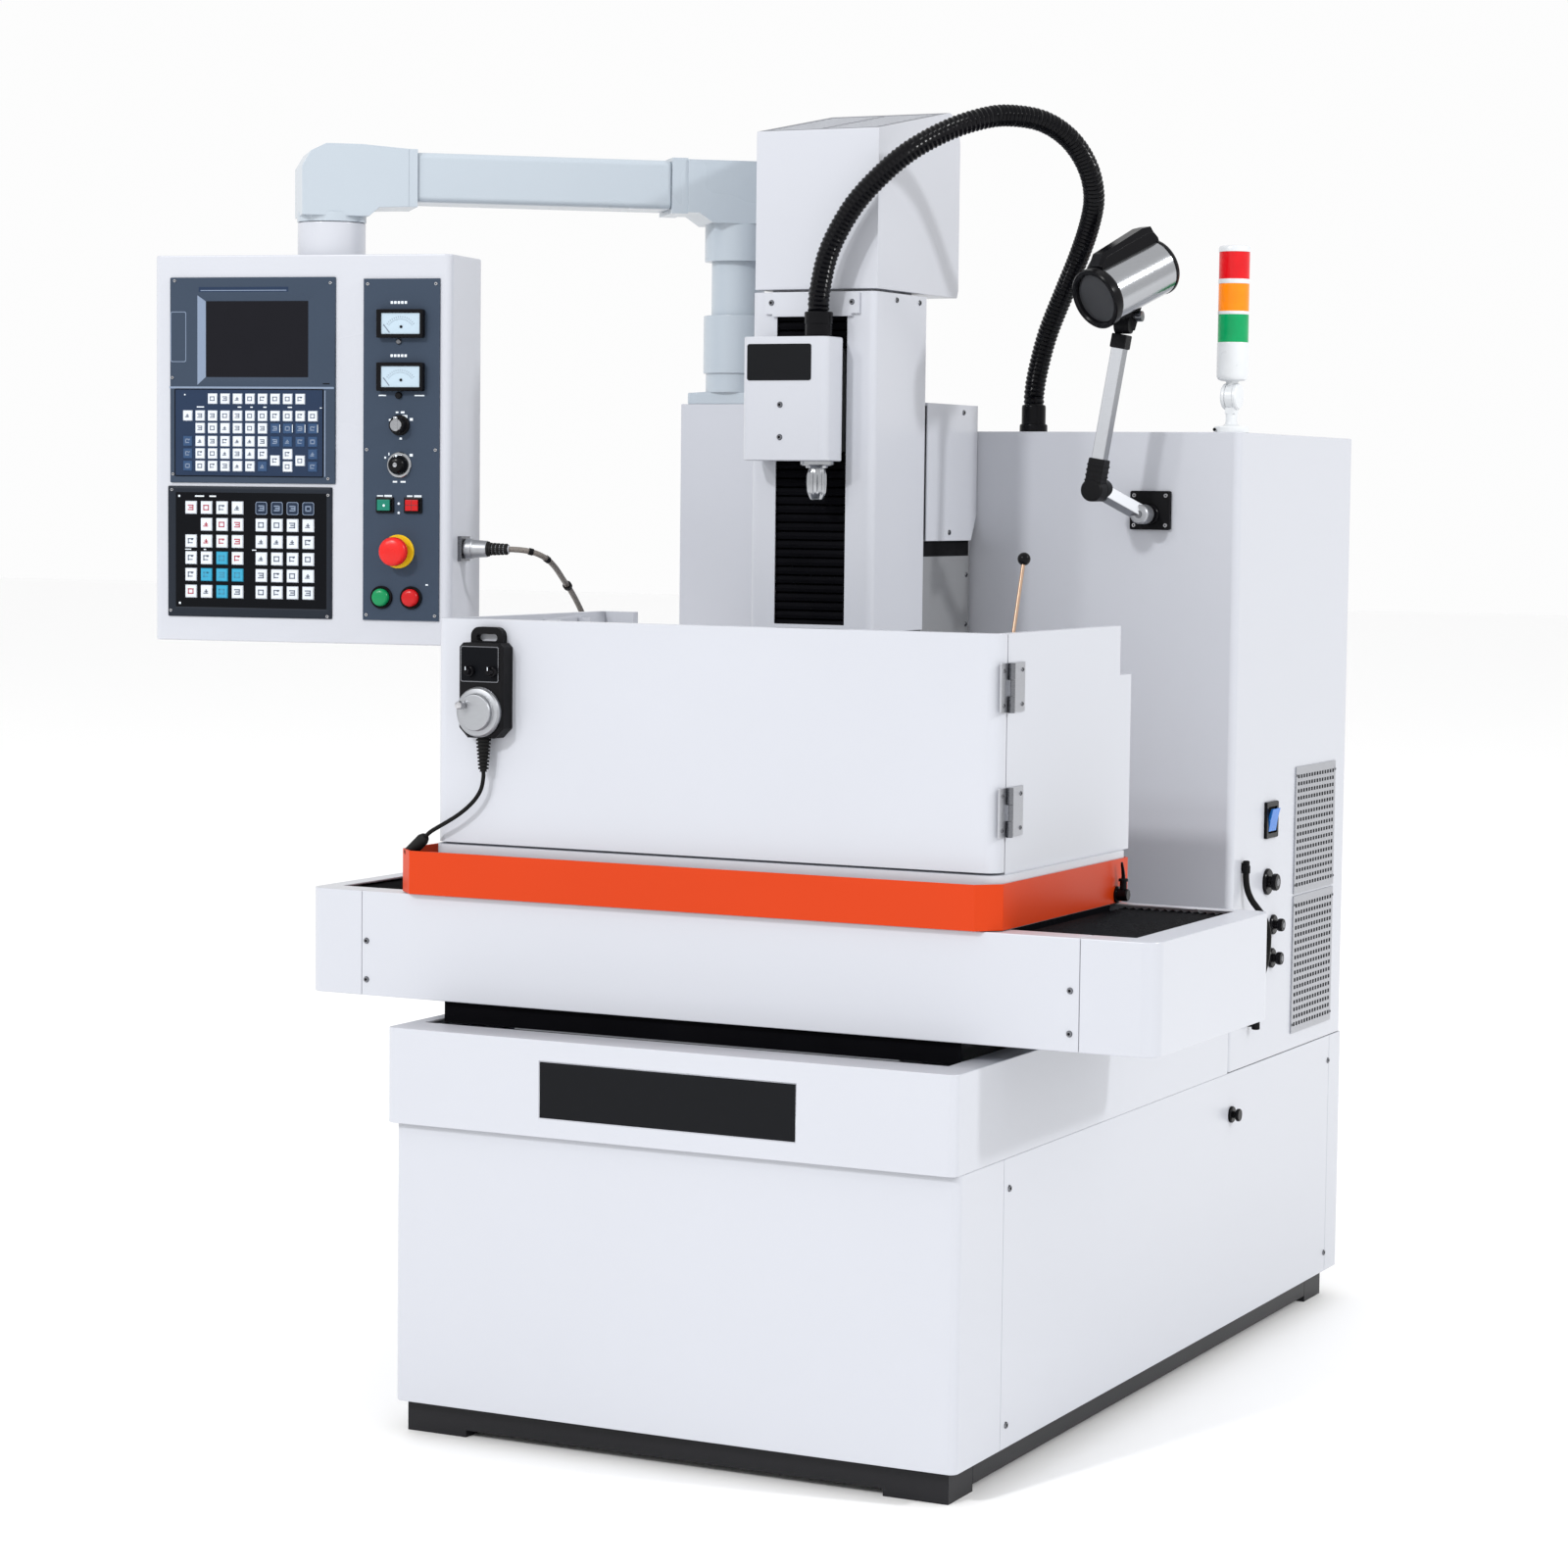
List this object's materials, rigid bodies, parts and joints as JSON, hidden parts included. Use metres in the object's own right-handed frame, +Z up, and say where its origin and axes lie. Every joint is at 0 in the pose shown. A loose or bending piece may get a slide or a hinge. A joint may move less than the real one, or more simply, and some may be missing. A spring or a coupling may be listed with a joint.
{
  "type": "electrical discharge drilling machine",
  "caption": "Floor-standing electrical discharge drilling machine with a sliding work tank, vertical spindle head, rear cabinet, swinging operator panel, lamp and tower light.",
  "frame": {"origin": "on the floor, at the middle of the four levelling bolts", "axes": "+Z up; +Y from the front with the tank door towards the cabinet; +X to the right of someone facing the front"},
  "size_m": [1.7822, 1.592, 1.9203],
  "materials": {
    "white_paint": "semi-gloss powder coat",
    "grey_paint": "semi-gloss paint",
    "column_paint": "satin paint",
    "orange_paint": "semi-gloss paint",
    "black_paint": "satin paint",
    "casting": "as cast, painted",
    "ground_steel": "ground",
    "bright_steel": "brushed",
    "chuck_chrome": "polished",
    "fold_cloth": "coated cloth",
    "black_plastic": "moulded",
    "slate_panel": "printed film",
    "key_cap": "moulded",
    "button_green": "moulded",
    "button_red": "moulded",
    "stop_red": "moulded",
    "rocker_blue": "moulded",
    "wheel_grey": "turned",
    "rod_brass": "drawn",
    "lamp_silver": "anodised",
    "lens_plastic": "moulded",
    "brown_sheath": "extruded"
  },
  "bodies": {
    "base": {"plinth": "black_paint", "bed_casting": "casting", "front_skirt": "white_paint", "skirt_panels": "white_paint", "upper_rim": "white_paint", "column": "column_paint", "column_cover": "white_paint", "ram_housing": "white_paint", "top_cover": "white_paint", "cabinet": "white_paint", "cabinet_grille": "bright_steel", "cabinet_fittings": "black_plastic", "cover_screws": "bright_steel", "y_bellows": "fold_cloth", "side_cable": "black_plastic", "arm_pole": "grey_paint"},
    "panel_latch": {"panel_latch": "black_plastic"},
    "power_rocker": {"power_rocker": "rocker_blue"},
    "saddle": {"saddle_casting": "casting", "saddle_cover": "white_paint", "saddle_end_caps": "white_paint", "x_bellows": "fold_cloth"},
    "table": {"table_carriage": "casting", "work_table": "ground_steel", "spill_tray": "orange_paint", "work_tank": "white_paint", "tray_fittings": "black_plastic"},
    "drain_lever": {"drain_lever": "black_plastic"},
    "level_rod": {"level_rod": "rod_brass"},
    "tank_door": {"tank_door": "white_paint", "pendant_body": "black_plastic", "pendant_cable": "black_plastic"},
    "pendant_wheel": {"pendant_wheel": "wheel_grey"},
    "pendant_knob_left": {"pendant_knob_left": "black_plastic"},
    "pendant_knob_right": {"pendant_knob_right": "black_plastic"},
    "head": {"head_housing": "white_paint", "z_carriage": "column_paint", "z_bellows": "fold_cloth", "conduit_hose": "black_plastic"},
    "spindle": {"spindle_chuck": "chuck_chrome"},
    "arm": {"arm_elbow_right": "grey_paint", "arm_beam": "grey_paint", "arm_elbow_left": "grey_paint", "control_cable_rear": "brown_sheath"},
    "operator_panel": {"control_box": "white_paint", "display_panel": "slate_panel", "panel_keys": "key_cap", "operator_panel": "slate_panel", "control_cable_front": "brown_sheath"},
    "emergency_stop": {"emergency_stop": "stop_red"},
    "square_button_green": {"square_button_green": "button_green"},
    "square_button_red": {"square_button_red": "button_red"},
    "round_button_green": {"round_button_green": "button_green"},
    "round_button_red": {"round_button_red": "button_red"},
    "dial_upper": {"dial_upper": "black_plastic"},
    "dial_lower": {"dial_lower": "black_plastic"},
    "lamp_lower_arm": {"lamp_lower_arm": "lamp_silver"},
    "lamp_upper_arm": {"lamp_upper_arm": "lamp_silver"},
    "lamp_head": {"lamp_head": "lamp_silver"},
    "tower_light": {"tower_light": "lens_plastic"}
  },
  "joints": [
    {"name": "y_slide", "type": "slide", "parent": "base", "child": "saddle", "axis": [0, 1, 0], "range_m": [-0.035, 0.185], "deforming": ["y_bellows"]},
    {"name": "x_slide", "type": "slide", "parent": "saddle", "child": "table", "axis": [1, 0, 0], "range_m": [-0.08, 0.15], "deforming": ["x_bellows"]},
    {"name": "z_slide", "type": "slide", "parent": "base", "child": "head", "axis": [0, 0, 1], "range_m": [-0.19, 0.03], "deforming": ["z_bellows", "conduit_hose"]},
    {"name": "spindle_spin", "type": "hinge", "parent": "head", "child": "spindle", "pos_m": [-0.074, -0.188, 1.38], "axis": [0, 0, 1], "continuous": true},
    {"name": "door_swing", "type": "hinge", "parent": "table", "child": "tank_door", "pos_m": [0.4435, -0.651, 0.99], "axis": [0, 0, 1], "range_deg": [0, 110], "deforming": ["pendant_cable"]},
    {"name": "pendant_wheel_turn", "type": "hinge", "parent": "tank_door", "child": "pendant_wheel", "pos_m": [-0.343, -0.716, 1.021], "axis": [0, 1, 0], "continuous": true},
    {"name": "pendant_knob_left_turn", "type": "hinge", "parent": "tank_door", "child": "pendant_knob_left", "pos_m": [-0.358, -0.716, 1.078], "axis": [0, 1, 0], "range_deg": [-60, 60]},
    {"name": "pendant_knob_right_turn", "type": "hinge", "parent": "tank_door", "child": "pendant_knob_right", "pos_m": [-0.322, -0.716, 1.078], "axis": [0, 1, 0], "range_deg": [-60, 60]},
    {"name": "level_rod_tilt", "type": "hinge", "parent": "table", "child": "level_rod", "pos_m": [0.406, -0.59, 1.06], "axis": [1, 0, 0], "range_deg": [-50, 10]},
    {"name": "drain_lever_turn", "type": "hinge", "parent": "table", "child": "drain_lever", "pos_m": [0.457, -0.268, 0.79], "axis": [0, 0, 1], "range_deg": [0, 90]},
    {"name": "arm_swing", "type": "hinge", "parent": "base", "child": "arm", "pos_m": [-0.347, 0.08, 1.65], "axis": [0, 0, 1], "range_deg": [-50, 10], "deforming": ["control_cable_rear"]},
    {"name": "panel_swivel", "type": "hinge", "parent": "arm", "child": "operator_panel", "pos_m": [-0.8388, -0.33267, 1.71], "axis": [0, 0, 1], "range_deg": [-90, 60], "deforming": ["control_cable_front"]},
    {"name": "emergency_stop_press", "type": "slide", "parent": "operator_panel", "child": "emergency_stop", "axis": [-0.1908, 0.9816, 0], "range_m": [0, 0.004], "stiffness_N_per_m": 900},
    {"name": "square_button_green_press", "type": "slide", "parent": "operator_panel", "child": "square_button_green", "axis": [-0.1908, 0.9816, 0], "range_m": [0, 0.0025], "stiffness_N_per_m": 500},
    {"name": "square_button_red_press", "type": "slide", "parent": "operator_panel", "child": "square_button_red", "axis": [-0.1908, 0.9816, 0], "range_m": [0, 0.0025], "stiffness_N_per_m": 500},
    {"name": "round_button_green_press", "type": "slide", "parent": "operator_panel", "child": "round_button_green", "axis": [-0.1908, 0.9816, 0], "range_m": [0, 0.0025], "stiffness_N_per_m": 500},
    {"name": "round_button_red_press", "type": "slide", "parent": "operator_panel", "child": "round_button_red", "axis": [-0.1908, 0.9816, 0], "range_m": [0, 0.0025], "stiffness_N_per_m": 500},
    {"name": "dial_upper_turn", "type": "hinge", "parent": "operator_panel", "child": "dial_upper", "pos_m": [-0.68319, -0.38901, 1.429], "axis": [-0.1908, 0.9816, 0], "range_deg": [-140, 140]},
    {"name": "dial_lower_turn", "type": "hinge", "parent": "operator_panel", "child": "dial_lower", "pos_m": [-0.68417, -0.3892, 1.369], "axis": [-0.1908, 0.9816, 0], "range_deg": [-140, 140]},
    {"name": "lamp_base_turn", "type": "hinge", "parent": "base", "child": "lamp_lower_arm", "pos_m": [0.295, 0.2, 1.307], "axis": [0, 1, 0], "range_deg": [-8, 60]},
    {"name": "lamp_elbow_turn", "type": "hinge", "parent": "lamp_lower_arm", "child": "lamp_upper_arm", "pos_m": [0.25, 0.125, 1.343], "axis": [0, 1, 0], "range_deg": [-8, 60]},
    {"name": "lamp_head_tilt", "type": "hinge", "parent": "lamp_upper_arm", "child": "lamp_head", "pos_m": [0.29, 0.125, 1.592], "axis": [1, 0, 0], "range_deg": [-40, 30]},
    {"name": "tower_light_fold", "type": "hinge", "parent": "base", "child": "tower_light", "pos_m": [0.412, 0.268, 1.489], "axis": [-1, 0, 0], "range_deg": [0, 90]},
    {"name": "panel_latch_turn", "type": "hinge", "parent": "base", "child": "panel_latch", "pos_m": [0.44, 0.257, 0.378], "axis": [1, 0, 0], "range_deg": [0, 90]},
    {"name": "power_rocker_press", "type": "hinge", "parent": "base", "child": "power_rocker", "pos_m": [0.443, 0.412, 0.827], "axis": [0, 1, 0], "range_deg": [-14, 0]}
  ]
}
